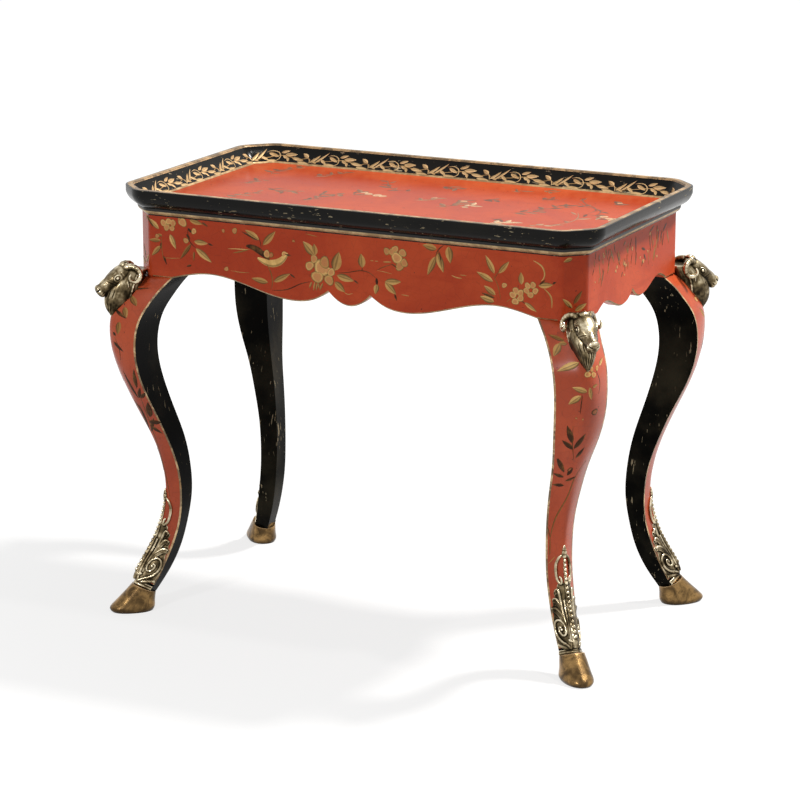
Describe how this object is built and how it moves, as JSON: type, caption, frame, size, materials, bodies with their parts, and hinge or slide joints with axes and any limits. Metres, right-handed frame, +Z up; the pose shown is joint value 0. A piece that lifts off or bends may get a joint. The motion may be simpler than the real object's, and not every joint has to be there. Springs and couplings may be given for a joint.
{
  "type": "tray-top side table",
  "caption": "Low rectangular table with a raised moulded tray rim, shaped aprons and cabriole legs with cast ram's-head knee masks, scrolled foot mounts and hoof feet.",
  "frame": {"origin": "centre of the footprint on the floor", "axes": "+X along the long side, to the right seen from the front; +Y towards the back; +Z up"},
  "size_m": [0.9014, 0.5414, 0.73],
  "materials": {
    "gilt_paint": "worn gilding",
    "red_lacquer": "gloss lacquer",
    "black_lacquer": "gloss lacquer",
    "bare_wood": "sawn",
    "gilt_brass": "aged polish",
    "bronzed_brass": "patinated",
    "brass_pin": "satin",
    "steel_screw": "satin"
  },
  "bodies": {
    "root": {"apron_back": "red_lacquer", "apron_corner_back_left": "red_lacquer", "apron_corner_back_right": "red_lacquer", "apron_corner_front_left": "red_lacquer", "apron_corner_front_right": "red_lacquer", "apron_front": "red_lacquer", "apron_left": "red_lacquer", "apron_right": "red_lacquer", "bead_back": "gilt_paint", "bead_corner_back_left": "gilt_paint", "bead_corner_back_right": "gilt_paint", "bead_corner_front_left": "gilt_paint", "bead_corner_front_right": "gilt_paint", "bead_front": "gilt_paint", "bead_left": "gilt_paint", "bead_right": "gilt_paint", "brace_screws": "steel_screw", "corner_brace_back_left": "bare_wood", "corner_brace_back_right": "bare_wood", "corner_brace_front_left": "bare_wood", "corner_brace_front_right": "bare_wood", "foot_mount_back_left": "gilt_brass", "foot_mount_back_right": "gilt_brass", "foot_mount_front_left": "gilt_brass", "foot_mount_front_right": "gilt_brass", "hoof_back_left": "bronzed_brass", "hoof_back_right": "bronzed_brass", "hoof_front_left": "bronzed_brass", "hoof_front_right": "bronzed_brass", "hoof_screws": "steel_screw", "leg_back_left": "red_lacquer", "leg_back_right": "red_lacquer", "leg_front_left": "red_lacquer", "leg_front_right": "red_lacquer", "leg_screws": "steel_screw", "mount_pins": "brass_pin", "ram_head_back_left": "gilt_brass", "ram_head_back_right": "gilt_brass", "ram_head_front_left": "gilt_brass", "ram_head_front_right": "gilt_brass", "ram_head_pins": "brass_pin", "rim_back": "black_lacquer", "rim_corner_back_left": "black_lacquer", "rim_corner_back_right": "black_lacquer", "rim_corner_front_left": "black_lacquer", "rim_corner_front_right": "black_lacquer", "rim_front": "black_lacquer", "rim_left": "black_lacquer", "rim_right": "black_lacquer", "top_screws": "steel_screw", "tray_panel": "red_lacquer"}
  },
  "joints": []
}
